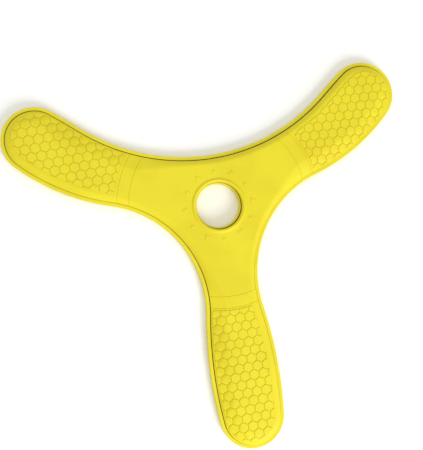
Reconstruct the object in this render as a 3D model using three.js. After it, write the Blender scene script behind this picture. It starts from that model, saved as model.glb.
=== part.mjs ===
// A soft tri-blade boomerang: a lower half with a raised rim, a film of adhesive, and an upper half
// that lies inside the rim. Units are millimetres and +Z is up. The origin is the centre of mass,
// and the bond plane, where the two halves meet, is z = 0. The tail blade points along +X, and the
// outlines of the two wing blades, which bow away from it, mirror each other across the XZ plane.
// Every shape is drawn about the hub centre and then moved to its place.

import * as THREE from 'three';

const HUB_X = -7.6; // hub centre, which puts the centre of mass at the origin

// Plan shape. Each side of a blade is three arcs that meet smoothly: tip, side and root.
const TAIL_REACH = 148.5; // hub centre to the end of the tail blade
const WING_REACH = 135; // hub centre to the end of a wing blade
const WING_HEADING = THREE.MathUtils.degToRad(118.3); // from the tail round to a wing
const TIP_RADIUS = 19.7; // round end of a blade
const TAIL_SIDE = 245; // radius of the tail's long sides
const WING_TAIL_SIDE = 125; // radius of a wing's long side on the tail's side
const WING_FRONT_SIDE = 450; // radius of a wing's long side on the other wing's side
const TAIL_HOLLOW_HEADING = THREE.MathUtils.degToRad(57.1); // middle of a hollow beside the tail
const TAIL_HOLLOW_REACH = 32.5; // hub centre to that hollow
const TAIL_HOLLOW_RADIUS = 66;
const FRONT_HOLLOW_REACH = 31; // hub centre to the hollow between the wings
const FRONT_HOLLOW_RADIUS = 116;
const HOLE_RADIUS = 13.2; // finger hole in the lower half

// Lower half: a flat-bottomed layer with a low rim round its outside and round its hole.
const LOWER_THICKNESS = 4; // underside to bond plane
const UNDERSIDE_ROUND = 1.2; // radius of the lower edges
const RIM_WIDTH = 2; // rim round the outside
const HOLE_RIM_WIDTH = 0.8; // rim round the hole
const RIM_HEIGHT = 1; // rim above the bond plane
const RIM_ROUND = 0.4; // radius of the rim's edge

// Adhesive film.
const FILM_THICKNESS = 0.3;
const FILM_MARGIN = 0.1; // left free between the film and the rim

// Upper half: a wing section with a full leading edge and a long trailing bevel.
const JOINT_GAP = 0.3; // open joint between the rim and the upper half
const UPPER_THICKNESS = 4.2; // film to the flat top
const EDGE_THICKNESS = 1.5; // upright wall below the bevels
const LEADING_BEVEL = 4; // width of the bevel on the leading side and round the hub
const TRAILING_BEVEL = 9; // width of the bevel on the trailing side
const LEADING_FULLNESS = 2.4; // 1 is a straight bevel, more is rounder
const TRAILING_FULLNESS = 1.3;
const BEVEL_FADE_START = 32; // the trailing bevel grows from this distance from the hub centre
const BEVEL_FADE_END = 62; // to this one, where it has its full width
const LIP_WIDTH = 2.5; // raised bead round the hole
const LIP_HEIGHT = 0.8;

// Facets.
const TIP_STEPS = 20;
const SIDE_STEPS = 9;
const ROOT_STEPS = 18;
const HOLE_STEPS = 60;
const BEVEL_STEPS = 7;
const LIP_STEPS = 8;
const ROUND_STEPS = 3;

const TURN = 2 * Math.PI;

// Anticlockwise from the tail. Each hollow follows the blade of the same number.
const BLADES = [
  { heading: 0, reach: TAIL_REACH, trailingSide: TAIL_SIDE, leadingSide: TAIL_SIDE },
  { heading: WING_HEADING, reach: WING_REACH, trailingSide: WING_TAIL_SIDE, leadingSide: WING_FRONT_SIDE },
  { heading: -WING_HEADING, reach: WING_REACH, trailingSide: WING_FRONT_SIDE, leadingSide: WING_TAIL_SIDE },
];
const HOLLOWS = [
  { heading: TAIL_HOLLOW_HEADING, reach: TAIL_HOLLOW_REACH, radius: TAIL_HOLLOW_RADIUS },
  { heading: Math.PI, reach: FRONT_HOLLOW_REACH, radius: FRONT_HOLLOW_RADIUS },
  { heading: -TAIL_HOLLOW_HEADING, reach: TAIL_HOLLOW_REACH, radius: TAIL_HOLLOW_RADIUS },
];

const COLOURS = { foam: 0xe9da30, film: 0x2a2318 };

/** Where two circles cross, on the side of the line between their centres that is given. */
function circleCrossing(first, firstRadius, second, secondRadius, side) {
  const between = second.clone().sub(first);
  const distance = between.length();
  const along = (distance ** 2 + firstRadius ** 2 - secondRadius ** 2) / (2 * distance);
  const across = Math.sqrt(firstRadius ** 2 - along ** 2);
  const direction = between.normalize();
  const sideways = new THREE.Vector2(-direction.y, direction.x).multiplyScalar(side * across);
  return first.clone().addScaledVector(direction, along).add(sideways);
}

/** Points along an arc, its end left out, each with the direction that leads into the material. */
function arcPoints(centre, radius, start, end, steps, intoMaterial, trailing) {
  return Array.from({ length: steps }, (_, step) => {
    const share = step / steps;
    const angle = THREE.MathUtils.lerp(start, end, share);
    const outward = new THREE.Vector2(Math.cos(angle), Math.sin(angle));
    return {
      point: centre.clone().addScaledVector(outward, radius),
      inward: outward.multiplyScalar(intoMaterial),
      trailing: trailing(share),
    };
  });
}

/** A point by its heading and its distance from the hub centre. */
function atHeading(heading, distance) {
  return new THREE.Vector2(Math.cos(heading), Math.sin(heading)).multiplyScalar(distance);
}

/** The heading from one point to another, between 0 and a whole turn. */
function headingTo(from, to) {
  return to.clone().sub(from).angle();
}

/** The centre of the side arc that joins a tip to a hollow: side is -1 for trailing, 1 for leading. */
function sideCentre(blade, hollow, radius, side) {
  const tip = atHeading(blade.heading, blade.reach - TIP_RADIUS);
  const root = atHeading(hollow.heading, hollow.reach + hollow.radius);
  return circleCrossing(tip, radius - TIP_RADIUS, root, radius + hollow.radius, side);
}

/** One blade, anticlockwise: trailing side, tip, leading side, and the hollow up to the next blade. */
function bladeOutline(number) {
  const blade = BLADES[number];
  const nextBlade = BLADES[(number + 1) % BLADES.length];
  const hollow = HOLLOWS[number];
  const hollowBefore = HOLLOWS.at(number - 1);
  const tip = atHeading(blade.heading, blade.reach - TIP_RADIUS);
  const root = atHeading(hollow.heading, hollow.reach + hollow.radius);
  const rootBefore = atHeading(hollowBefore.heading, hollowBefore.reach + hollowBefore.radius);
  const trailing = sideCentre(blade, hollowBefore, blade.trailingSide, -1);
  const leading = sideCentre(blade, hollow, blade.leadingSide, 1);
  const nextTrailing = sideCentre(nextBlade, hollow, nextBlade.trailingSide, -1);
  const onwards = (start, end) => start + ((end - start + TURN) % TURN);
  const trailingStart = headingTo(trailing, rootBefore);
  const tipStart = onwards(trailingStart, headingTo(trailing, tip));
  const tipEnd = onwards(tipStart, headingTo(leading, tip));
  const leadingEnd = onwards(tipEnd, headingTo(leading, root));
  const hollowStart = headingTo(root, leading);
  const hollowEnd = hollowStart - ((hollowStart - headingTo(root, nextTrailing) + TURN) % TURN);
  const always = () => 1;
  const never = () => 0;
  const fadeOut = (share) => 1 - THREE.MathUtils.smoothstep(share, 0, 1);
  const halves = (share) => (share < 0.5 ? 0 : 1);
  return [
    ...arcPoints(trailing, blade.trailingSide, trailingStart, tipStart, SIDE_STEPS, -1, always),
    ...arcPoints(tip, TIP_RADIUS, tipStart, tipEnd, TIP_STEPS, -1, fadeOut),
    ...arcPoints(leading, blade.leadingSide, tipEnd, leadingEnd, SIDE_STEPS, -1, never),
    ...arcPoints(root, hollow.radius, hollowStart, hollowEnd, ROOT_STEPS, 1, halves),
  ];
}

/** The whole outline, anticlockwise. */
function wholeOutline() {
  return BLADES.flatMap((_, number) => bladeOutline(number)).map(({ point, inward, trailing }) => {
    const fade = THREE.MathUtils.smoothstep(point.length(), BEVEL_FADE_START, BEVEL_FADE_END);
    return { point, inward, trailing: trailing * fade };
  });
}

const outline = wholeOutline();

/** The outline at a height, moved into the material by a fixed inset. */
function outlineRing(z, inset) {
  return outline.map(({ point, inward }) => {
    const moved = point.clone().addScaledVector(inward, inset);
    return new THREE.Vector3(moved.x, moved.y, z);
  });
}

/** One ring of the bevels, at a share of their width from the upright wall to the flat top. */
function bevelRing(wallInset, wallTop, flatTop, share) {
  return outline.map(({ point, inward, trailing }) => {
    const width = THREE.MathUtils.lerp(LEADING_BEVEL, TRAILING_BEVEL, trailing);
    const fullness = THREE.MathUtils.lerp(LEADING_FULLNESS, TRAILING_FULLNESS, trailing);
    const rise = 1 - (1 - share) ** fullness;
    const moved = point.clone().addScaledVector(inward, wallInset + width * share);
    return new THREE.Vector3(moved.x, moved.y, THREE.MathUtils.lerp(wallTop, flatTop, rise));
  });
}

/** A circle about the hub centre at a height. */
function holeRing(z, radius) {
  return Array.from({ length: HOLE_STEPS }, (_, step) => {
    const angle = (2 * Math.PI * step) / HOLE_STEPS;
    return new THREE.Vector3(radius * Math.cos(angle), radius * Math.sin(angle), z);
  });
}

/** A quarter round from 0 to 1 in equal turns, as pairs of [share outwards, share upwards]. */
function quarterRound() {
  return Array.from({ length: ROUND_STEPS + 1 }, (_, step) => {
    const angle = (Math.PI / 2) * (step / ROUND_STEPS);
    return [Math.sin(angle), 1 - Math.cos(angle)];
  });
}

/** The flat face between an outer ring and a hole ring, facing up or down. */
function flatFace(outer, outerStart, hole, holeStart, facesUp) {
  const flatten = (ring) => ring.map(({ x, y }) => new THREE.Vector2(x, y));
  const corners = [...flatten(outer), ...flatten(hole)];
  const numbers = [...outer.map((_, i) => outerStart + i), ...hole.map((_, i) => holeStart + i)];
  return THREE.ShapeUtils.triangulateShape(flatten(outer), [flatten(hole)]).flatMap(([a, b, c]) => {
    const clockwise = THREE.ShapeUtils.isClockWise([corners[a], corners[b], corners[c]]);
    const ordered = clockwise === facesUp ? [a, c, b] : [a, b, c];
    return ordered.map((corner) => numbers[corner]);
  });
}

/** The walls between rings of equal length, numbered from a first vertex. */
function walls(rings, firstVertex) {
  const count = rings[0].length;
  const triangles = [];
  for (let ring = 0; ring < rings.length - 1; ring += 1) {
    const near = firstVertex + ring * count;
    const far = near + count;
    for (let i = 0; i < count; i += 1) {
      const next = (i + 1) % count;
      triangles.push(near + i, near + next, far + next, near + i, far + next, far + i);
    }
  }
  return triangles;
}

/** A closed body with a hole: rings up its outside, then rings down through its hole. */
function ringBody(outside, hole) {
  const holeStart = outside.length * outside[0].length;
  const lastOutside = holeStart - outside[0].length;
  const lastHole = holeStart + (hole.length - 1) * hole[0].length;
  const geometry = new THREE.BufferGeometry().setFromPoints([...outside, ...hole].flat());
  geometry.setIndex([
    ...walls(outside, 0),
    ...walls(hole, holeStart),
    ...flatFace(outside.at(-1), lastOutside, hole[0], holeStart, true),
    ...flatFace(outside[0], 0, hole.at(-1), lastHole, false),
  ]);
  geometry.computeVertexNormals();
  return geometry;
}

function lowerHalf() {
  const underside = -LOWER_THICKNESS;
  const rimInside = HOLE_RADIUS + HOLE_RIM_WIDTH;
  const lowerRound = quarterRound();
  const upperRound = quarterRound().reverse();
  const outside = [
    ...lowerRound.map(([out, up]) =>
      outlineRing(underside + UNDERSIDE_ROUND * up, UNDERSIDE_ROUND * (1 - out))),
    ...upperRound.map(([out, down]) =>
      outlineRing(RIM_HEIGHT - RIM_ROUND * down, RIM_ROUND * (1 - out))),
    outlineRing(RIM_HEIGHT, RIM_WIDTH),
    outlineRing(0, RIM_WIDTH),
  ];
  const holeRound = Math.min(RIM_ROUND, HOLE_RIM_WIDTH / 2);
  const hole = [
    holeRing(0, rimInside),
    holeRing(RIM_HEIGHT, rimInside),
    ...lowerRound.map(([out, down]) =>
      holeRing(RIM_HEIGHT - holeRound * down, HOLE_RADIUS + holeRound * (1 - out))),
    ...upperRound.map(([out, up]) =>
      holeRing(underside + UNDERSIDE_ROUND * up, HOLE_RADIUS + UNDERSIDE_ROUND * (1 - out))),
  ];
  return ringBody(outside, hole);
}

function upperHalf() {
  const wallInset = RIM_WIDTH + JOINT_GAP;
  const holeWall = HOLE_RADIUS + HOLE_RIM_WIDTH + JOINT_GAP;
  const foot = FILM_THICKNESS;
  const wallTop = foot + EDGE_THICKNESS;
  const flatTop = foot + UPPER_THICKNESS;
  const bevels = Array.from({ length: BEVEL_STEPS }, (_, step) =>
    bevelRing(wallInset, wallTop, flatTop, (step + 1) / BEVEL_STEPS));
  const lip = Array.from({ length: LIP_STEPS + 1 }, (_, step) => {
    const angle = (Math.PI * step) / LIP_STEPS;
    const radius = holeWall + (LIP_WIDTH / 2) * (1 + Math.cos(angle));
    return holeRing(flatTop + LIP_HEIGHT * Math.sin(angle), radius);
  });
  return ringBody(
    [outlineRing(foot, wallInset), outlineRing(wallTop, wallInset), ...bevels],
    [...lip, holeRing(foot, holeWall)],
  );
}

function bondFilm() {
  const inset = RIM_WIDTH + FILM_MARGIN;
  const hole = HOLE_RADIUS + HOLE_RIM_WIDTH + FILM_MARGIN;
  return ringBody(
    [outlineRing(0, inset), outlineRing(FILM_THICKNESS, inset)],
    [holeRing(FILM_THICKNESS, hole), holeRing(0, hole)],
  );
}

function part(name, geometry, color, roughness) {
  geometry.translate(HUB_X, 0, 0);
  const mesh = new THREE.Mesh(geometry, new THREE.MeshStandardMaterial({ color, roughness, metalness: 0 }));
  mesh.name = name;
  return mesh;
}

const boomerang = new THREE.Group();
boomerang.add(
  part('lower_half', lowerHalf(), COLOURS.foam, 0.55),
  part('bond_film', bondFilm(), COLOURS.film, 0.7),
  part('upper_half', upperHalf(), COLOURS.foam, 0.55),
);

export default boomerang;
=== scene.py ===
"""A soft tri-blade boomerang: its foam mouldings, their relief and finish, and a plain studio.

Laid out as an add-on and run as a script. Lengths are in metres.
"""

import math

import bpy
import numpy as np
from bpy.props import FloatProperty, FloatVectorProperty, IntProperty, PointerProperty
from mathutils import Matrix, Vector
from mathutils.geometry import tessellate_polygon


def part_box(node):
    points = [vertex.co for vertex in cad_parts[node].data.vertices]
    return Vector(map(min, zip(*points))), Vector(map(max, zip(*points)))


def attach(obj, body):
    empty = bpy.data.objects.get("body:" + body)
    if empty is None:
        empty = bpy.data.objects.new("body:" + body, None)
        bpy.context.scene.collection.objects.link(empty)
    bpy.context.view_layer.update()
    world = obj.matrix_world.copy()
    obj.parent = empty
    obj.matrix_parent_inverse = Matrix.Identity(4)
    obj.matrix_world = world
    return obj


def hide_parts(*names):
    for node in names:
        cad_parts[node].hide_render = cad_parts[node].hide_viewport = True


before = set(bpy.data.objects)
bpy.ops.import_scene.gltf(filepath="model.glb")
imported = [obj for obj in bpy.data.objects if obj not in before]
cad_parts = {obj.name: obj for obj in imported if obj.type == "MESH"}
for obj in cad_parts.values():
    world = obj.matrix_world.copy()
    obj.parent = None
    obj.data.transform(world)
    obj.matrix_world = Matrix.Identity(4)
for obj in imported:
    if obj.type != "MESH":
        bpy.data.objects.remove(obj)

bl_info = {
    "name": "Foam Boomerang",
    "version": (1, 0, 0),
    "blender": (4, 5, 0),
    "location": "3D View > Sidebar > Boomerang",
    "description": "Moulded foam halves with tiled grips, their bond and a plain studio",
    "category": "Object",
}

MM = 0.001
BLADES = 3
TURN = 2 * math.pi

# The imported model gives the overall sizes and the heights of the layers.
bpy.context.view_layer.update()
LOWER_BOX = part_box("lower_half")
FILM_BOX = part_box("bond_film")
UPPER_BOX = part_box("upper_half")
UNDERSIDE = LOWER_BOX[0].z
RIM_TOP = LOWER_BOX[1].z
BOND_PLANE = FILM_BOX[0].z
UPPER_FOOT = UPPER_BOX[0].z
LIP_TOP = UPPER_BOX[1].z
UPPER_INSET = LOWER_BOX[1].x - UPPER_BOX[1].x
FILM_INSET = LOWER_BOX[1].x - FILM_BOX[1].x

# The origin is the centre of mass, and the hub centre is a little behind it on the x axis.
HUB_X = -7.6 * MM
HUB_MOVE = Matrix.Translation((HUB_X, 0, 0))
TAIL_REACH = LOWER_BOX[1].x - HUB_X

# Fineness of the meshes.
TIP_STEPS = 48
SIDE_STEPS = 24
ROOT_STEPS = 48
HOLE_STEPS = 144
BEVEL_STEPS = 20
ROUND_STEPS = 6
LIP_STEPS = 14
LINE_STEPS = 720
LINE_SIDES = 10
DOT_SIDES = 20
SPARE_COLUMNS = 6  # of tiles, beyond those that a blade's tip needs
CREASE = math.radians(32)  # faces that meet more steeply than this keep an edge


# ---------------------------------------------------------------- settings


def length(name, description, millimetres):
    """A length property with its default in millimetres."""
    return FloatProperty(
        name=name, description=description, default=millimetres * MM, unit="LENGTH", precision=5
    )


def colour(name, description, value):
    """A colour property in linear RGB."""
    return FloatVectorProperty(
        name=name, description=description, default=value, size=3, subtype="COLOR", min=0, max=1
    )


class BoomerangPlan(bpy.types.PropertyGroup):
    """The outline from above: tip, side and root arcs that meet smoothly, and the hub hole."""

    tip_radius: length("Tip radius", "Round end of a blade", 19.7)
    wing_reach: length("Wing reach", "Hub centre to the end of a wing blade", 135)
    wing_heading: FloatProperty(
        name="Wing heading", description="From the tail blade round to a wing blade",
        default=math.radians(118.3), subtype="ANGLE",
    )
    tail_side: length("Tail side", "Radius of the tail's long sides", 245)
    wing_tail_side: length("Wing side, tail", "Radius of a wing's side towards the tail", 125)
    wing_front_side: length("Wing side, front", "Radius of a wing's side towards the other", 450)
    tail_hollow_heading: FloatProperty(
        name="Tail hollow heading", description="Middle of a hollow beside the tail",
        default=math.radians(57.1), subtype="ANGLE",
    )
    tail_hollow_reach: length("Tail hollow reach", "Hub centre to a hollow beside the tail", 32.5)
    tail_hollow_radius: length("Tail hollow radius", "Radius of a hollow beside the tail", 66)
    front_hollow_reach: length("Front hollow reach", "Hub centre to the front hollow", 31)
    front_hollow_radius: length("Front hollow radius", "Radius of the front hollow", 116)
    hole_radius: length("Hole radius", "Finger hole in the lower half", 13.2)


class BoomerangLower(bpy.types.PropertyGroup):
    """The flat lower half and its rims."""

    film_margin: length("Film margin", "Left free between the adhesive and the rim", 0.1)
    hole_rim: length("Hole rim", "Width of the rim round the hole", 0.8)
    underside_round: length("Underside round", "Radius of the lower edges", 1.2)
    rim_round: length("Rim round", "Radius of the rim's edges", 0.4)


class BoomerangUpper(bpy.types.PropertyGroup):
    """The wing-shaped upper half."""

    joint_gap: length("Joint gap", "Open joint between the rim and the upper half", 0.3)
    lip_height: length("Lip height", "Raised bead round the hole, above the flat top", 0.8)
    lip_width: length("Lip width", "Width of the bead round the hole", 2.5)
    wall_height: length("Wall height", "Upright wall below the bevels", 1.5)
    wall_round: length("Wall round", "Softness of the wall's top edge", 0.35)
    leading_bevel: length("Leading bevel", "Width on the leading side and round the hub", 4)
    trailing_bevel: length("Trailing bevel", "Width on the trailing side", 9)
    fade_start: length("Fade start", "The trailing bevel grows from this reach", 32)
    fade_end: length("Fade end", "The trailing bevel has its full width from this reach", 62)
    leading_fullness: FloatProperty(
        name="Leading fullness", description="1 is a straight bevel, more is rounder", default=2.4
    )
    trailing_fullness: FloatProperty(
        name="Trailing fullness", description="1 is a straight bevel, more is rounder", default=1.12
    )
    bond_shift: length("Bond shift", "How far off centre the upper half is bonded", 0.25)
    bond_heading: FloatProperty(
        name="Bond heading", description="The way in which the upper half is off centre",
        default=math.radians(28), subtype="ANGLE",
    )


class BoomerangRelief(bpy.types.PropertyGroup):
    """What stands on the upper half's skin or is sunk in it."""

    tile_pitch: length("Tile pitch", "Distance between tile centres", 5.8)
    tile_groove: length("Tile groove", "Width of the grooves between tiles", 0.45)
    tile_height: length("Tile height", "How far a tile stands out", 0.42)
    tile_edge: length("Tile edge", "Width of the slope round a tile's top", 0.32)
    tile_start: length("Tile start", "Reach at which the tiles begin", 63.4)
    tile_leading: length("Leading margin", "Smooth band along the leading edge", 6.9)
    tile_trailing: length("Trailing margin", "Smooth band along the trailing edge", 3.2)
    inner_line: length("Inner line", "Radius of the inner curved line", 54.7)
    outer_line: length("Outer line", "Radius of the outer curved line", 61.7)
    line_radius: length("Line radius", "Radius of the bead that presses the curved lines", 0.5)
    line_depth: length("Line depth", "Depth of the curved lines", 0.3)
    mark_reach: length("Mark reach", "Hub centre to the marks round the hub", 20.6)
    mark_size: length("Mark size", "Reach of a dart from its centre", 2.3)
    mark_height: length("Mark height", "How far a mark stands out", 0.3)
    mark_count: IntProperty(
        name="Marks", description="Darts and dots round the hub, in turn", default=12, min=2
    )


class BoomerangFinish(bpy.types.PropertyGroup):
    """Colours of the foam and of the adhesive."""

    foam: colour("Foam", "The foam's usual yellow", (0.75, 0.65, 0.010))
    foam_warm: colour("Foam, warm", "Yellow where the skin is denser", (0.68, 0.56, 0.007))
    # Painted shade: this colour darkens the grooves and crevices, and it also tints the pores.
    foam_pore_and_shade: colour("Foam, pores and shade", "Darker pores, and painted shade in grooves", (0.36, 0.25, 0.012))
    adhesive: colour("Adhesive", "Dried contact adhesive", (0.022, 0.015, 0.008))
    floor: colour("Floor", "Pale studio floor", (0.93, 0.93, 0.92))


class BoomerangStudio(bpy.types.PropertyGroup):
    """Where the camera and the lights stand."""

    distance: length("Distance", "Camera to the hub, along the line of sight", 497.8)
    hub_right: length("Hub right", "Hub to the right of the view's centre", 3.87)
    hub_up: length("Hub up", "Hub above the view's centre", 11.76)
    turn: FloatProperty(
        name="Turn", description="Tail blade above the horizontal", default=math.radians(-80.74),
        subtype="ANGLE",
    )
    tilt: FloatProperty(
        name="Tilt", description="Lean of the object from the line of sight",
        default=math.radians(8.69), subtype="ANGLE",
    )
    tilt_towards: FloatProperty(
        name="Tilt towards", description="Side of the view that leans away",
        default=math.radians(11.43), subtype="ANGLE",
    )
    lens: FloatProperty(name="Lens", description="Focal length in mm", default=65.6)
    key_power: FloatProperty(
        name="Key power", description="Main light, low from one side", default=7.6, unit="POWER"
    )
    top_power: FloatProperty(
        name="Top power", description="Broad light from above", default=3.6, unit="POWER"
    )
    sky: FloatProperty(name="Sky", description="Strength of the even light", default=0.69)


class BoomerangSettings(bpy.types.PropertyGroup):
    """Everything a user may change."""

    plan: PointerProperty(type=BoomerangPlan)
    lower: PointerProperty(type=BoomerangLower)
    upper: PointerProperty(type=BoomerangUpper)
    relief: PointerProperty(type=BoomerangRelief)
    finish: PointerProperty(type=BoomerangFinish)
    studio: PointerProperty(type=BoomerangStudio)


# ---------------------------------------------------------------- node trees


class Value:
    """A node's output that Python arithmetic can use. Each operation adds a Math node."""

    def __init__(self, graph, socket):
        self.graph = graph
        self.socket = socket

    def __add__(self, other):
        return self.graph.math("ADD", self, other)

    def __radd__(self, other):
        return self.graph.math("ADD", other, self)

    def __sub__(self, other):
        return self.graph.math("SUBTRACT", self, other)

    def __rsub__(self, other):
        return self.graph.math("SUBTRACT", other, self)

    def __mul__(self, other):
        return self.graph.math("MULTIPLY", self, other)

    def __rmul__(self, other):
        return self.graph.math("MULTIPLY", other, self)

    def __truediv__(self, other):
        return self.graph.math("DIVIDE", self, other)

    def __rtruediv__(self, other):
        return self.graph.math("DIVIDE", other, self)

    def output(self, name):
        """Another output of the same node."""
        return Value(self.graph, self.socket.node.outputs[name])

    def clamped(self):
        """The value held between 0 and 1."""
        return self.graph.math("MAXIMUM", self.graph.math("MINIMUM", self, 1), 0)


class Graph:
    """Adds nodes to a tree. An input is a number, a vector, a data-block or a Value."""

    def __init__(self, tree):
        self.tree = tree

    def add(self, kind, inputs=None, output=0, **settings):
        """A node with its settings, then its sockets, by name or number. Gives one output."""
        node = self.tree.nodes.new(kind)
        for name, value in settings.items():
            setattr(node, name, value)
        for name, value in (inputs or {}).items():
            self.feed(node.inputs[name], value)
        return Value(self, node.outputs[output])

    def feed(self, socket, value):
        """Links or sets a socket. A list goes to a socket that takes several links."""
        if isinstance(value, list):
            for each in value:
                self.tree.links.new(each.socket, socket)
        elif isinstance(value, Value):
            self.tree.links.new(value.socket, socket)
        else:
            socket.default_value = value

    def math(self, operation, *values):
        """A Math node on up to three values."""
        return self.add("ShaderNodeMath", dict(enumerate(values)), operation=operation)

    def vector(self, x, y, z):
        """A vector from three values."""
        return self.add("ShaderNodeCombineXYZ", {0: x, 1: y, 2: z})

    def parts(self, vector):
        """The three values of a vector."""
        split = self.add("ShaderNodeSeparateXYZ", {0: vector})
        return [Value(self, socket) for socket in split.socket.node.outputs]

    def mixed(self, factor, first, second):
        """A colour between two colours."""
        node = self.tree.nodes.new("ShaderNodeMix")
        node.data_type = "RGBA"
        sockets = {socket.identifier: socket for socket in node.inputs}
        self.feed(sockets["Factor_Float"], factor)
        self.feed(sockets["A_Color"], first)
        self.feed(sockets["B_Color"], second)
        return Value(self, next(s for s in node.outputs if s.identifier == "Result_Color"))

    def step(self, value, low, high):
        """0 below low, 1 above high, and a smooth rise between."""
        return self.add(
            "ShaderNodeMapRange",
            {"Value": value, "From Min": low, "From Max": high},
            interpolation_type="SMOOTHSTEP",
        )


# ---------------------------------------------------------------- outline


def rgba(value):
    """A colour property with full alpha."""
    return (*value, 1.0)


def smooth_step(value, low, high):
    """0 below low, 1 above high, and a smooth rise between, for arrays."""
    share = np.clip((value - low) / (high - low), 0, 1)
    return share * share * (3 - 2 * share)


def circle_crossing(first, first_radius, second, second_radius, side):
    """Where two circles cross, on the side (1 is left) of the line between their centres."""
    between = second - first
    distance = np.hypot(*between)
    along = (distance**2 + first_radius**2 - second_radius**2) / (2 * distance)
    across = math.sqrt(first_radius**2 - along**2)
    direction = between / distance
    sideways = np.array([-direction[1], direction[0]])
    return first + direction * along + sideways * side * across


def heading_to(start, end):
    """The heading of the way from one point to another."""
    return math.atan2(end[1] - start[1], end[0] - start[0])


def onwards(start, end):
    """An angle that is reached by turning anticlockwise from another."""
    return start + (end - start) % TURN


def at_heading(heading, distance):
    """A point by its heading and its distance from the hub centre."""
    return distance * np.array([math.cos(heading), math.sin(heading)])


class Outline:
    """The plan outline about the hub centre, anticlockwise.

    Each point has the way into the foam and its share of trailing edge, from 0 to 1.
    """

    def __init__(self, plan):
        wing = plan.wing_heading
        self.tip_radius = plan.tip_radius
        self.blades = [
            (0, TAIL_REACH, plan.tail_side, plan.tail_side),
            (wing, plan.wing_reach, plan.wing_tail_side, plan.wing_front_side),
            (-wing, plan.wing_reach, plan.wing_front_side, plan.wing_tail_side),
        ]
        hollows = [
            (plan.tail_hollow_heading, plan.tail_hollow_reach, plan.tail_hollow_radius),
            (math.pi, plan.front_hollow_reach, plan.front_hollow_radius),
            (-plan.tail_hollow_heading, plan.tail_hollow_reach, plan.tail_hollow_radius),
        ]
        self.roots = [(at_heading(turn, reach + radius), radius) for turn, reach, radius in hollows]
        arcs = [arc for number in range(BLADES) for arc in self.blade(number)]
        self.points, self.inward, self.trailing = (np.concatenate(part) for part in zip(*arcs))
        self.reach = np.hypot(*self.points.T)

    def side_centre(self, number, root, side):
        """The centre of a blade's trailing (-1) or leading (1) side, which joins tip and hollow."""
        heading, reach, trailing_side, leading_side = self.blades[number]
        tip = at_heading(heading, reach - self.tip_radius)
        radius = trailing_side if side < 0 else leading_side
        centre, hollow_radius = root
        return circle_crossing(tip, radius - self.tip_radius, centre, radius + hollow_radius, side)

    def blade(self, number):
        """A blade's arcs: trailing side, tip, leading side and the hollow up to the next blade."""
        heading, reach, trailing_side, leading_side = self.blades[number]
        tip = at_heading(heading, reach - self.tip_radius)
        root_before, root = self.roots[number - 1], self.roots[number]
        trailing = self.side_centre(number, root_before, -1)
        leading = self.side_centre(number, root, 1)
        next_trailing = self.side_centre((number + 1) % BLADES, root, -1)
        trailing_start = heading_to(trailing, root_before[0])
        tip_start = onwards(trailing_start, heading_to(trailing, tip))
        tip_end = onwards(tip_start, heading_to(leading, tip))
        leading_end = onwards(tip_end, heading_to(leading, root[0]))
        hollow_start = heading_to(root[0], leading)
        hollow_end = hollow_start - (hollow_start - heading_to(root[0], next_trailing)) % TURN

        def fading(share):
            return 1 - smooth_step(share, 0, 1)

        def halved(share):
            return np.where(share < 0.5, 0.0, 1.0)

        return [
            self.arc(trailing, trailing_side, trailing_start, tip_start, SIDE_STEPS, -1, np.ones_like),
            self.arc(tip, self.tip_radius, tip_start, tip_end, TIP_STEPS, -1, fading),
            self.arc(leading, leading_side, tip_end, leading_end, SIDE_STEPS, -1, np.zeros_like),
            self.arc(*root, hollow_start, hollow_end, ROOT_STEPS, 1, halved),
        ]

    @staticmethod
    def arc(centre, radius, start, end, steps, into_foam, trailing):
        """An arc's points without its end, their ways into the foam and shares of trailing edge."""
        share = np.arange(steps) / steps
        angle = start + (end - start) * share
        outward = np.stack([np.cos(angle), np.sin(angle)], axis=1)
        return centre + radius * outward, into_foam * outward, trailing(share)

    def ring(self, height, inset):
        """The outline at a height, moved into the foam. Both may vary along it."""
        moved = self.points + self.inward * np.reshape(inset, (-1, 1))
        return np.column_stack([moved, np.broadcast_to(height, len(moved))])


def hole_ring(height, radius):
    """A circle about the hub centre at a height."""
    angle = np.arange(HOLE_STEPS) * TURN / HOLE_STEPS
    return np.column_stack([radius * np.cos(angle), radius * np.sin(angle), angle * 0 + height])


def quarter_round():
    """A quarter circle in equal turns, as pairs of shares of its radius, outwards and along."""
    angles = [math.pi / 2 * step / ROUND_STEPS for step in range(ROUND_STEPS + 1)]
    return [(math.sin(angle), 1 - math.cos(angle)) for angle in angles]


# ---------------------------------------------------------------- meshes


def wall_faces(rings, first):
    """Quads between rings of equal length, numbered from a first vertex."""
    count = len(rings[0])
    index = np.arange(count)
    following = (index + 1) % count
    faces = []
    for ring in range(len(rings) - 1):
        near = first + ring * count
        far = near + count
        faces += np.column_stack(
            [near + index, near + following, far + following, far + index]
        ).tolist()
    return faces


def flat_faces(outer, outer_first, hole, hole_first, faces_up):
    """Triangles between an outer ring and a hole ring."""
    loops = [[Vector((*p[:2], 0)) for p in ring] for ring in (outer, hole)]
    places = np.concatenate([outer, hole])
    numbers = [outer_first + corner for corner in range(len(outer))]
    numbers += [hole_first + corner for corner in range(len(hole))]
    faces = []
    for a, b, c in tessellate_polygon(loops):
        side_one = places[b][:2] - places[a][:2]
        side_two = places[c][:2] - places[a][:2]
        anticlockwise = side_one[0] * side_two[1] - side_one[1] * side_two[0] > 0
        order = (a, b, c) if anticlockwise == faces_up else (a, c, b)
        faces.append([numbers[corner] for corner in order])
    return faces


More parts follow.
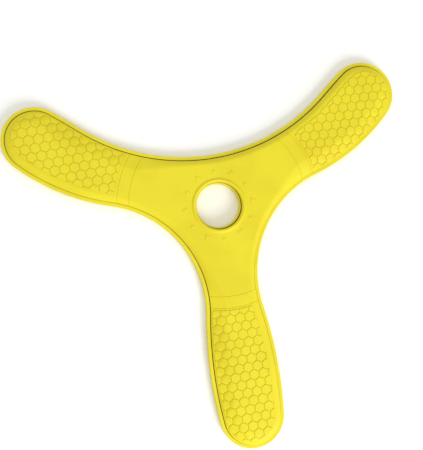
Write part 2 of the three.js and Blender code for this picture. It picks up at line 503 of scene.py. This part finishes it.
def ring_mesh(name, outside, hole):
    """A closed body with a hole: rings up its outside, then rings down through its hole."""
    hole_first = len(outside) * len(outside[0])
    last_outside = hole_first - len(outside[0])
    last_hole = hole_first + (len(hole) - 1) * len(hole[0])
    faces = [
        *wall_faces(outside, 0),
        *wall_faces(hole, hole_first),
        *flat_faces(outside[-1], last_outside, hole[0], hole_first, True),
        *flat_faces(outside[0], 0, hole[-1], last_hole, False),
    ]
    mesh = bpy.data.meshes.new(name)
    mesh.from_pydata(np.concatenate([*outside, *hole]).tolist(), [], faces)
    mesh.update()
    return mesh


def prism_mesh(name, outlines, low, high):
    """Upright prisms on anticlockwise outlines, as one mesh."""
    rings = []
    faces = []
    first = 0
    for corners in outlines:
        count = len(corners)
        pair = [np.column_stack([corners, np.full(count, height)]) for height in (low, high)]
        faces += wall_faces(pair, first)
        faces.append(list(range(first, first + count))[::-1])
        faces.append(list(range(first + count, first + 2 * count)))
        rings += pair
        first += 2 * count
    mesh = bpy.data.meshes.new(name)
    mesh.from_pydata(np.concatenate(rings).tolist(), [], faces)
    mesh.update()
    return mesh


def new_piece(name, mesh, material=None):
    """An object in the scene with a mesh and, where given, its material."""
    piece = bpy.data.objects.new(name, mesh)
    bpy.context.scene.collection.objects.link(piece)
    if material:
        mesh.materials.clear()
        mesh.materials.append(material)
    return piece


def smooth_shading(mesh):
    """Smooth faces, with an edge where they meet steeply."""
    mesh.polygons.foreach_set("use_smooth", [True] * len(mesh.polygons))
    mesh.set_sharp_from_angle(angle=CREASE)
    mesh.update()


def ride_as_foam(piece, node):
    """A foam piece goes with the one body and stands for its plain solid."""
    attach(piece, "root")
    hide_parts(node)


# ---------------------------------------------------------------- plain shapes of the halves


# The rings of the bevel lie closer together at its steep foot, by this power.
RING_CROWDING = 1.6
# How soon the softness of the wall's top edge dies away up the bevel.
SOFTNESS_DECAY = 2.5
# A narrow flat ring that ends each slope, so that its shading stops there.
FLAT_BORDER = 0.4 * MM


def upper_skin(settings):
    """The upper half without its relief."""
    plan, upper, lower = settings.plan, settings.upper, settings.lower
    outline = Outline(plan)
    wall_top = UPPER_FOOT + upper.wall_height
    flat_top = LIP_TOP - upper.lip_height
    trailing = outline.trailing * smooth_step(outline.reach, upper.fade_start, upper.fade_end)
    width = upper.leading_bevel + (upper.trailing_bevel - upper.leading_bevel) * trailing
    fullness = upper.leading_fullness
    fullness = fullness + (upper.trailing_fullness - fullness) * trailing
    rings = [outline.ring(UPPER_FOOT, UPPER_INSET)]
    for step in range(BEVEL_STEPS + 1):
        share = (step / BEVEL_STEPS) ** RING_CROWDING
        rise = 1 - (1 - share) ** fullness
        distance = width * share
        softening = upper.wall_round * np.exp(-SOFTNESS_DECAY * distance / upper.wall_round)
        height = wall_top + (flat_top - wall_top) * rise - softening
        rings.append(outline.ring(height, UPPER_INSET + distance))
    rings.append(outline.ring(flat_top, UPPER_INSET + width + FLAT_BORDER))
    hole_wall = plan.hole_radius + lower.hole_rim + upper.joint_gap
    hole = [hole_ring(flat_top, hole_wall + upper.lip_width + FLAT_BORDER)]
    for step in range(LIP_STEPS + 1):
        share = step / LIP_STEPS
        bead = smooth_step(2 * share, 0, 1) if share < 0.5 else math.sqrt(1 - (2 * share - 1) ** 2)
        radius = hole_wall + upper.lip_width * (1 - share)
        hole.append(hole_ring(flat_top + upper.lip_height * float(bead), radius))
    hole.append(hole_ring(UPPER_FOOT, hole_wall))
    return ring_mesh("upper_skin", rings, hole)


def tiled_areas(settings):
    """The plan of the tiled part of each blade, anticlockwise."""
    relief = settings.relief
    outline = Outline(settings.plan)
    inset = relief.tile_leading + (relief.tile_trailing - relief.tile_leading) * outline.trailing
    half_hollow = ROOT_STEPS // 2
    moved = np.roll(outline.ring(0, inset)[:, :2], half_hollow, axis=0)
    areas = []
    for points in np.split(moved, BLADES):
        points = points[np.hypot(*points.T) > relief.tile_start]
        start, end = (math.atan2(points[k][1], points[k][0]) for k in (-1, 0))
        angles = np.linspace(start, end, SIDE_STEPS)[1:-1]
        closing = relief.tile_start * np.stack([np.cos(angles), np.sin(angles)], axis=1)
        areas.append(np.concatenate([points, closing]))
    return areas


def lower_tray(settings):
    """The lower half with its rounded edges and rims."""
    plan, lower = settings.plan, settings.lower
    outline = Outline(plan)
    rim_width = FILM_INSET - lower.film_margin
    rim_inside = plan.hole_radius + lower.hole_rim
    hole_round = min(lower.rim_round, lower.hole_rim / 2)
    rounds = quarter_round()
    back = rounds[::-1]
    outside = [
        outline.ring(UNDERSIDE + lower.underside_round * up, lower.underside_round * (1 - out))
        for out, up in rounds
    ]
    outside += [
        outline.ring(RIM_TOP - lower.rim_round * down, lower.rim_round * (1 - out))
        for out, down in back
    ]
    outside += [
        outline.ring(RIM_TOP - hole_round * (1 - out), rim_width - hole_round * (1 - down))
        for out, down in back
    ]
    outside.append(outline.ring(BOND_PLANE, rim_width))
    hole = [hole_ring(BOND_PLANE, rim_inside), hole_ring(RIM_TOP, rim_inside)]
    hole += [
        hole_ring(RIM_TOP - hole_round * down, plan.hole_radius + hole_round * (1 - out))
        for out, down in rounds
    ]
    hole += [
        hole_ring(
            UNDERSIDE + lower.underside_round * up,
            plan.hole_radius + lower.underside_round * (1 - out),
        )
        for out, up in back
    ]
    return ring_mesh("lower_tray", outside, hole)


# ---------------------------------------------------------------- relief


RELIEF_INPUTS = {
    "Tiled Area": "NodeSocketObject",
    "Tile Pitch": "NodeSocketFloat",
    "Tile Groove": "NodeSocketFloat",
    "Tile Height": "NodeSocketFloat",
    "Tile Edge": "NodeSocketFloat",
    "Tile Start": "NodeSocketFloat",
    "Wing Heading": "NodeSocketFloat",
    "Rows": "NodeSocketInt",
    "Columns": "NodeSocketInt",
    "Inner Line": "NodeSocketFloat",
    "Outer Line": "NodeSocketFloat",
    "Line Radius": "NodeSocketFloat",
    "Line Depth": "NodeSocketFloat",
    "Marks": "NodeSocketInt",
    "Mark Reach": "NodeSocketFloat",
    "Mark Size": "NodeSocketFloat",
    "Mark Height": "NodeSocketFloat",
    "Foam": "NodeSocketMaterial",
}
SINK = 0.35 * MM  # how far the foot of a pad lies below the skin
SHOULDER = 0.55  # share of a pad's height that stands upright, below its slope
RAY_HEIGHT = 50 * MM  # well above the skin
ROW_SPACING = math.sqrt(3) / 2  # distance between rows of six-sided tiles, in pitches

# A dot's radius and the widths of the slopes, as shares of the mark size.
DOT_SIZE = 0.5
DOT_EDGE = 0.12
DART_EDGE = 0.2


def pad_nodes(graph, sides, radius, height, edge):
    """A low pad with an upright wall and a slope above it, its foot below the skin."""
    pad = graph.add(
        "GeometryNodeMeshCylinder",
        {"Vertices": sides, "Side Segments": 2, "Fill Segments": 1, "Radius": 1.0, "Depth": 2.0},
    )
    x, y, level = graph.parts(graph.add("GeometryNodeInputPosition"))
    top = graph.math("MAXIMUM", level, 0)
    foot = graph.math("MINIMUM", level, 0)
    shoulder = height * SHOULDER
    spread = radius - edge * top
    lift = shoulder + foot * (shoulder + SINK) + top * (height - shoulder)
    place = graph.vector(x * spread, y * spread, lift)
    return graph.add("GeometryNodeSetPosition", {"Geometry": pad, "Position": place})


def laid_on(graph, geometry, skin, lowest):
    """Geometry moved up by the height of the skin at each of its points, or by the lowest one."""
    place = graph.add("GeometryNodeInputPosition")
    x, y, _ = graph.parts(place)
    ray = graph.add(
        "GeometryNodeRaycast",
        {
            "Target Geometry": skin,
            "Source Position": graph.vector(x, y, RAY_HEIGHT),
            "Ray Direction": (0, 0, -1),
            "Ray Length": 2 * RAY_HEIGHT,
        },
        output="Is Hit",
    )
    hit = graph.parts(ray.output("Hit Position"))[2]
    height = ray * hit + (1 - ray) * lowest
    return graph.add(
        "GeometryNodeSetPosition", {"Geometry": geometry, "Offset": graph.vector(0, 0, height)}
    )


def on_each_blade(graph, geometry, wing_heading):
    """A copy on the tail blade and on both wings, at 0, 1 and -1 times the wings' heading."""
    index = graph.add("GeometryNodeInputIndex")
    heading = (graph.math("MODULO", index + 1, BLADES) - 1) * wing_heading
    points = graph.add("GeometryNodePoints", {"Count": BLADES})
    return graph.add(
        "GeometryNodeInstanceOnPoints",
        {"Points": points, "Instance": geometry, "Rotation": graph.vector(0, 0, heading)},
    )


def tile_nodes(graph, given, skin):
    """Six-sided tiles in staggered rows across each blade, cut to its tiled area."""
    pitch = given("Tile Pitch")
    columns = given("Columns")
    index = graph.add("GeometryNodeInputIndex")
    row = graph.math("FLOOR", index / columns)
    column = index - row * columns
    # Every second row moves half a pitch, and the two kinds lie evenly about the blade's axis.
    stagger = graph.math("MODULO", row, 2) * 0.5
    x = given("Tile Start") + row * pitch * ROW_SPACING
    y = (column - (columns - 1) * 0.5 + stagger - 0.25) * pitch
    centres = graph.add(
        "GeometryNodePoints", {"Count": given("Rows") * columns, "Position": graph.vector(x, y, 0)}
    )
    radius = (pitch - given("Tile Groove")) / math.sqrt(3)
    pad = pad_nodes(graph, 6, radius, given("Tile Height"), given("Tile Edge"))
    tiles = graph.add("GeometryNodeInstanceOnPoints", {"Points": centres, "Instance": pad})
    tiles = on_each_blade(graph, tiles, given("Wing Heading"))
    tiles = graph.add("GeometryNodeRealizeInstances", {0: tiles})
    area = graph.add(
        "GeometryNodeObjectInfo", {"Object": given("Tiled Area")}, output="Geometry"
    )
    cut = graph.add(
        "GeometryNodeMeshBoolean", {"Mesh 2": [tiles, area]}, operation="INTERSECT", solver="MANIFOLD"
    )
    fine = graph.add("GeometryNodeSubdivideMesh", {"Mesh": cut, "Level": 1})
    return laid_on(graph, fine, skin, 0)


def mark_nodes(graph, given, skin):
    """Darts and dots in turn round the hub, laid on the skin."""
    size = given("Mark Size")
    height = given("Mark Height")
    index = graph.add("GeometryNodeInputIndex")
    angle = index * TURN / given("Marks")
    place = graph.vector(
        graph.math("COSINE", angle) * given("Mark Reach"),
        graph.math("SINE", angle) * given("Mark Reach"),
        0,
    )
    centres = graph.add("GeometryNodePoints", {"Count": given("Marks"), "Position": place})
    dart = pad_nodes(graph, 3, size, height, size * DART_EDGE)
    dot = pad_nodes(graph, DOT_SIDES, size * DOT_SIZE, height, size * DOT_EDGE)
    shapes = graph.add(
        "GeometryNodeJoinGeometry",
        {0: [graph.add("GeometryNodeGeometryToInstance", {0: shape}) for shape in (dart, dot)]},
    )
    marks = graph.add(
        "GeometryNodeInstanceOnPoints",
        {
            "Points": centres,
            "Instance": shapes,
            "Pick Instance": True,
            "Instance Index": graph.math("MODULO", index, 2),
            "Rotation": graph.vector(0, 0, angle),
        },
    )
    marks = graph.add("GeometryNodeRealizeInstances", {0: marks})
    return laid_on(graph, marks, skin, 0)


def line_nodes(graph, given, skin, radius, lowest):
    """A round bead that follows the skin on a circle about the hub, to press a line with."""
    path = graph.add(
        "GeometryNodeCurvePrimitiveCircle", {"Resolution": LINE_STEPS, "Radius": radius}
    )
    section = graph.add(
        "GeometryNodeCurvePrimitiveCircle", {"Resolution": LINE_SIDES, "Radius": given("Line Radius")}
    )
    bead = graph.add("GeometryNodeCurveToMesh", {"Curve": path, "Profile Curve": section})
    lift = given("Line Radius") - given("Line Depth")
    bead = graph.add(
        "GeometryNodeSetPosition", {"Geometry": bead, "Offset": graph.vector(0, 0, lift)}
    )
    return laid_on(graph, bead, skin, lowest)


def relief_tree(wall_top):
    """A tree that adds tiles and marks to a smooth skin and presses the curved lines into it."""
    tree = bpy.data.node_groups.new("Moulded Relief", "GeometryNodeTree")
    tree.interface.new_socket("Skin", in_out="INPUT", socket_type="NodeSocketGeometry")
    for name, kind in RELIEF_INPUTS.items():
        tree.interface.new_socket(name, in_out="INPUT", socket_type=kind)
    tree.interface.new_socket("Moulding", in_out="OUTPUT", socket_type="NodeSocketGeometry")
    graph = Graph(tree)
    skin = graph.add("NodeGroupInput")

    def given(name):
        return skin.output(name)

    raised = [tile_nodes(graph, given, skin), mark_nodes(graph, given, skin)]
    radii = [given(name) for name in ("Inner Line", "Outer Line")]
    lines = [line_nodes(graph, given, skin, radius, wall_top) for radius in radii]
    joined = graph.add(
        "GeometryNodeMeshBoolean", {"Mesh 2": [skin, *raised]}, operation="UNION", solver="MANIFOLD"
    )
    pressed = graph.add(
        "GeometryNodeMeshBoolean", {"Mesh 1": joined, "Mesh 2": lines}, operation="DIFFERENCE",
        solver="MANIFOLD",
    )
    real = graph.add("GeometryNodeRealizeInstances", {0: pressed})
    coated = graph.add("GeometryNodeSetMaterial", {"Geometry": real, "Material": given("Foam")})
    output = tree.nodes.new("NodeGroupOutput")
    graph.feed(output.inputs["Moulding"], coated)
    return tree


def relief_values(settings, area, material):
    """The values of the relief tree's inputs, by name."""
    relief = settings.relief
    span = TAIL_REACH - relief.tile_start
    rows = math.ceil(span / (relief.tile_pitch * ROW_SPACING)) + 1
    columns = math.ceil(2 * settings.plan.tip_radius / relief.tile_pitch) + SPARE_COLUMNS
    return {
        "Tiled Area": area,
        "Tile Pitch": relief.tile_pitch,
        "Tile Groove": relief.tile_groove,
        "Tile Height": relief.tile_height,
        "Tile Edge": relief.tile_edge,
        "Tile Start": relief.tile_start,
        "Wing Heading": settings.plan.wing_heading,
        "Rows": rows,
        "Columns": columns,
        "Inner Line": relief.inner_line,
        "Outer Line": relief.outer_line,
        "Line Radius": relief.line_radius,
        "Line Depth": relief.line_depth,
        "Marks": relief.mark_count,
        "Mark Reach": relief.mark_reach,
        "Mark Size": relief.mark_size,
        "Mark Height": relief.mark_height,
        "Foam": material,
    }


def moulded(skin, tree, values):
    """The plain mesh that a geometry tree makes of a skin."""
    modifier = skin.modifiers.new(tree.name, "NODES")
    modifier.node_group = tree
    for item in tree.interface.items_tree:
        if item.in_out == "INPUT" and item.name in values:
            modifier[item.identifier] = values[item.name]
    depsgraph = bpy.context.evaluated_depsgraph_get()
    mesh = bpy.data.meshes.new_from_object(skin.evaluated_get(depsgraph), depsgraph=depsgraph)
    skin.modifiers.remove(modifier)
    if len(mesh.polygons) <= len(skin.data.polygons):
        raise RuntimeError("the relief added nothing to the skin")
    return mesh


# ---------------------------------------------------------------- finishes


def new_material(name):
    """A material with its tree, its object coordinates in millimetres and its main shader."""
    material = bpy.data.materials.new(name)
    material.use_nodes = True
    tree = material.node_tree
    tree.nodes.clear()
    graph = Graph(tree)
    shader = graph.add("ShaderNodeBsdfPrincipled")
    output = tree.nodes.new("ShaderNodeOutputMaterial")
    graph.feed(output.inputs["Surface"], shader)
    place = graph.add("ShaderNodeTexCoord", output="Object")
    place = graph.add("ShaderNodeMapping", {"Vector": place, "Scale": (1 / MM,) * 3})
    return material, graph, shader.socket.node.inputs, place


def noise(graph, place, size, detail, roughness=0.5):
    """Noise between 0 and 1 whose features are about a size in millimetres."""
    return graph.add(
        "ShaderNodeTexNoise",
        {"Vector": place, "Scale": 1 / size, "Detail": detail, "Roughness": roughness},
    )


# The foam's skin: how strongly each pattern tints it, and how far it rises or sinks there.
CLOUD_TINT = 0.55
GRAIN_TINT = 0.2
PORE_TINT = 0.12
# Painted shade: the foam is darkened in grooves and crevices, where little light reaches, by this
# strength, gain and reach.
CREVICE_SHADE_TINT = 0.2
CREVICE_GAIN = 1.3
CREVICE_REACH = 0.7 * MM
WAVE_RISE = 0.03 * MM
GRAIN_RISE = 0.02 * MM
PORE_DEPTH = 0.008 * MM
PORE_SPACING = 0.8  # in millimetres, as are all pattern sizes
ROUGHNESS = 0.46
GRAIN_ROUGHNESS = 0.14
CLOUD_ROUGHNESS = 0.06

# Glue and painted shade on the foot of the upper half: a dark band up to just over the rim, with a
# ragged edge, in millimetres.
JOINT_BAND_LEVEL = RIM_TOP / MM + 0.05
JOINT_BAND_FADE = 0.15
JOINT_BAND_RAGGEDNESS = 0.5

# How much lighter the lumps of dried adhesive are, and how uneven the floor's white is.
LUMP_GAIN = 2.2
FLOOR_SHADE = 0.97
FLOOR_TINT = 0.06


def foam_material(name, finish, glue_and_joint_shade=False):
    """The moulded skin of closed-cell foam: mottled and faintly pored, with painted shade in its
    crevices, and at its foot a dark glue band that also stands in for the joint's shade.
    """
    material, graph, shader, place = new_material(name)
    cloud = graph.step(noise(graph, place, size=26, detail=3), low=0.38, high=0.66)
    grain = noise(graph, place, size=0.55, detail=4, roughness=0.6)
    waves = noise(graph, place, size=7, detail=2)
    cells = graph.add("ShaderNodeTexVoronoi", {"Vector": place, "Scale": 1 / PORE_SPACING})
    pore = 1 - graph.step(cells, low=0.08, high=0.3)
    # Painted shade in grooves and crevices, from how closely the surface is hemmed in.
    crevice = 1 - graph.add(
        "ShaderNodeAmbientOcclusion", {"Distance": CREVICE_REACH}, output="AO",
        samples=6, only_local=True,
    )
    painted_crevice_shade = (crevice * CREVICE_GAIN).clamped() * CREVICE_SHADE_TINT
    warmth = cloud * CLOUD_TINT + grain * GRAIN_TINT
    yellow = graph.mixed(warmth, rgba(finish.foam), rgba(finish.foam_warm))
    yellow = graph.mixed(pore * PORE_TINT, yellow, rgba(finish.foam_pore_and_shade))
    yellow = graph.mixed(painted_crevice_shade, yellow, rgba(finish.foam_pore_and_shade))
    # Painted shade of the joint: the wall's foot takes the adhesive's colour up to just over the rim,
    # as squeezed-out glue made wide and dark to stand in for the joint's shade.
    if glue_and_joint_shade:
        level = graph.parts(place)[2] + JOINT_BAND_RAGGEDNESS * (grain - 0.5)
        above_joint_band = graph.step(level, low=JOINT_BAND_LEVEL, high=JOINT_BAND_LEVEL + JOINT_BAND_FADE)
        yellow = graph.mixed(1 - above_joint_band, yellow, rgba(finish.adhesive))
    graph.feed(shader["Base Color"], yellow)
    roughness = ROUGHNESS + GRAIN_ROUGHNESS * grain + CLOUD_ROUGHNESS * cloud
    graph.feed(shader["Roughness"], roughness)
    shader["Specular IOR Level"].default_value = 0.38
    height = grain * GRAIN_RISE + waves * WAVE_RISE - pore * PORE_DEPTH
    bump = graph.add("ShaderNodeBump", {"Strength": 1.0, "Distance": 1.0, "Height": height})
    graph.feed(shader["Normal"], bump)
    return material


def adhesive_material(finish):
    """Dried contact adhesive: dark, lumpy and dull."""
    material, graph, shader, place = new_material("Dried Adhesive")
    lumps = noise(graph, place, size=0.9, detail=4, roughness=0.6)
    lighter = [min(1, LUMP_GAIN * part) for part in finish.adhesive]
    dark = graph.mixed(lumps, rgba(finish.adhesive), rgba(lighter))
    graph.feed(shader["Base Color"], dark)
    graph.feed(shader["Roughness"], 0.5 + 0.3 * lumps)
    bump = graph.add("ShaderNodeBump", {"Strength": 0.8, "Distance": 0.1 * MM, "Height": lumps})
    graph.feed(shader["Normal"], bump)
    return material


def floor_material(finish):
    """A pale floor, almost even."""
    material, graph, shader, place = new_material("Pale Floor")
    tone = noise(graph, place, size=300, detail=2) * FLOOR_TINT
    shade = [part * FLOOR_SHADE for part in finish.floor]
    graph.feed(shader["Base Color"], graph.mixed(tone, rgba(finish.floor), rgba(shade)))
    shader["Roughness"].default_value = 0.9
    shader["Specular IOR Level"].default_value = 0.1
    return material


# ---------------------------------------------------------------- operators


class BOOMERANG_OT_upper_half(bpy.types.Operator):
    """Make the wing-shaped upper half with its tiles, marks and curved lines"""

    bl_idname = "boomerang.upper_half"
    bl_label = "Upper Half"

    def execute(self, context):
        settings = context.scene.boomerang
        skin = new_piece("upper_skin", upper_skin(settings))
        height = LIP_TOP - UPPER_FOOT
        prism = prism_mesh("tiled_area", tiled_areas(settings), -height, height)
        area = new_piece("tiled_area", prism)
        tree = relief_tree(UPPER_FOOT + settings.upper.wall_height)
        foam = foam_material("Upper Foam", settings.finish, glue_and_joint_shade=True)
        mesh = moulded(skin, tree, relief_values(settings, area, foam))
        for helper in (skin, area):
            bpy.data.objects.remove(helper)
        shift = at_heading(settings.upper.bond_heading, settings.upper.bond_shift)
        mesh.transform(HUB_MOVE @ Matrix.Translation((*shift, 0)))
        smooth_shading(mesh)
        piece = new_piece("upper_half_moulding", mesh, foam)
        ride_as_foam(piece, "upper_half")
        return {"FINISHED"}


class BOOMERANG_OT_lower_half(bpy.types.Operator):
    """Make the flat lower half with its rims"""

    bl_idname = "boomerang.lower_half"
    bl_label = "Lower Half"

    def execute(self, context):
        settings = context.scene.boomerang
        mesh = lower_tray(settings)
        mesh.transform(HUB_MOVE)
        smooth_shading(mesh)
        piece = new_piece("lower_half_tray", mesh, foam_material("Lower Foam", settings.finish))
        ride_as_foam(piece, "lower_half")
        return {"FINISHED"}


class BOOMERANG_OT_bond_film(bpy.types.Operator):
    """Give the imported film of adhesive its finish"""

    bl_idname = "boomerang.bond_film"
    bl_label = "Bond Film"

    def execute(self, context):
        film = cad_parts["bond_film"]
        film.data.materials.clear()
        film.data.materials.append(adhesive_material(context.scene.boomerang.finish))
        return {"FINISHED"}


FLOOR_GAP = 0.1 * MM  # between the underside and the floor
FLOOR_REACH = 20 * TAIL_REACH
# Angles about the origin in degrees, distances and sizes in metres.
KEY_LIGHT = {"azimuth": 24, "elevation": 36, "distance": 1.1, "size": 0.55}
TOP_LIGHT = {"azimuth": 220, "elevation": 75, "distance": 1.3, "size": 1.4}


def area_light(name, azimuth, elevation, distance, size, power):
    """A soft square light aimed at the origin, placed by its angles about it in degrees."""
    data = bpy.data.lights.new(name, "AREA")
    data.size = size
    data.energy = power
    light = bpy.data.objects.new(name, data)
    bpy.context.scene.collection.objects.link(light)
    angle = math.radians(azimuth)
    rise = math.radians(elevation)
    across = math.cos(rise)
    place = distance * Vector((across * math.cos(angle), across * math.sin(angle), math.sin(rise)))
    light.location = place
    light.rotation_euler = (-place).to_track_quat("-Z", "Y").to_euler()


class BOOMERANG_OT_stage(bpy.types.Operator):
    """Lay the floor and set up the camera and the soft lights"""

    bl_idname = "boomerang.stage"
    bl_label = "Stage"

    def execute(self, context):
        settings = context.scene.boomerang
        self.lay_floor(settings.finish)
        self.set_camera(context, settings.studio)
        self.set_lights(context, settings.studio)
        context.scene.view_settings.view_transform = "Standard"
        return {"FINISHED"}

    def lay_floor(self, finish):
        """A wide floor just under the object."""
        signs = ((-1, -1), (1, -1), (1, 1), (-1, 1))
        level = UNDERSIDE - FLOOR_GAP
        corners = [(x * FLOOR_REACH, y * FLOOR_REACH, level) for x, y in signs]
        mesh = bpy.data.meshes.new("floor")
        mesh.from_pydata(corners, [], [(0, 1, 2, 3)])
        new_piece("floor", mesh, floor_material(finish))

    def set_camera(self, context, studio):
        """The camera looks down on the object, which leans away from it a little."""
        data = bpy.data.cameras.new("camera")
        data.lens = studio.lens
        camera = bpy.data.objects.new("camera", data)
        context.scene.collection.objects.link(camera)
        lean_axis = (-math.sin(studio.tilt_towards), math.cos(studio.tilt_towards), 0)
        seen = Matrix.Rotation(studio.tilt, 3, lean_axis) @ Matrix.Rotation(studio.turn, 3, "Z")
        hub = Vector((studio.hub_right, studio.hub_up, -studio.distance))
        place = Vector((HUB_X, 0, 0)) - seen.transposed() @ hub
        camera.matrix_world = Matrix.LocRotScale(place, seen.transposed(), None)
        context.scene.camera = camera

    def set_lights(self, context, studio):
        """A soft key low from one side, a broad light above and an even sky."""
        area_light("key", power=studio.key_power, **KEY_LIGHT)
        area_light("top", power=studio.top_power, **TOP_LIGHT)
        world = bpy.data.worlds.new("sky")
        world.use_nodes = True
        sky = world.node_tree.nodes["Background"].inputs
        sky["Color"].default_value = (1, 1, 1, 1)
        sky["Strength"].default_value = studio.sky
        context.scene.world = world


class BOOMERANG_PT_panel(bpy.types.Panel):
    """The boomerang's settings and steps"""

    bl_idname = "BOOMERANG_PT_panel"
    bl_label = "Boomerang"
    bl_space_type = "VIEW_3D"
    bl_region_type = "UI"
    bl_category = "Boomerang"

    def draw(self, context):
        settings = context.scene.boomerang
        for group in ("plan", "lower", "upper", "relief", "finish", "studio"):
            box = self.layout.box()
            box.label(text=group.title())
            part = getattr(settings, group)
            for name in part.__annotations__:
                box.prop(part, name)
        for step in STEPS:
            self.layout.operator(step.bl_idname)


GROUPS = (
    BoomerangPlan,
    BoomerangLower,
    BoomerangUpper,
    BoomerangRelief,
    BoomerangFinish,
    BoomerangStudio,
    BoomerangSettings,
)
STEPS = (
    BOOMERANG_OT_lower_half,
    BOOMERANG_OT_bond_film,
    BOOMERANG_OT_upper_half,
    BOOMERANG_OT_stage,
)


def register():
    """Registers the classes and hangs the settings on the scene."""
    for each in (*GROUPS, *STEPS, BOOMERANG_PT_panel):
        bpy.utils.register_class(each)
    bpy.types.Scene.boomerang = PointerProperty(type=BoomerangSettings)


def unregister():
    """Takes the settings and the classes away again."""
    del bpy.types.Scene.boomerang
    for each in reversed((*GROUPS, *STEPS, BOOMERANG_PT_panel)):
        bpy.utils.unregister_class(each)


def main():
    """Makes every piece and the stage."""
    register()
    bpy.ops.boomerang.lower_half()
    bpy.ops.boomerang.bond_film()
    bpy.ops.boomerang.upper_half()
    bpy.ops.boomerang.stage()


if __name__ == "__main__":
    main()
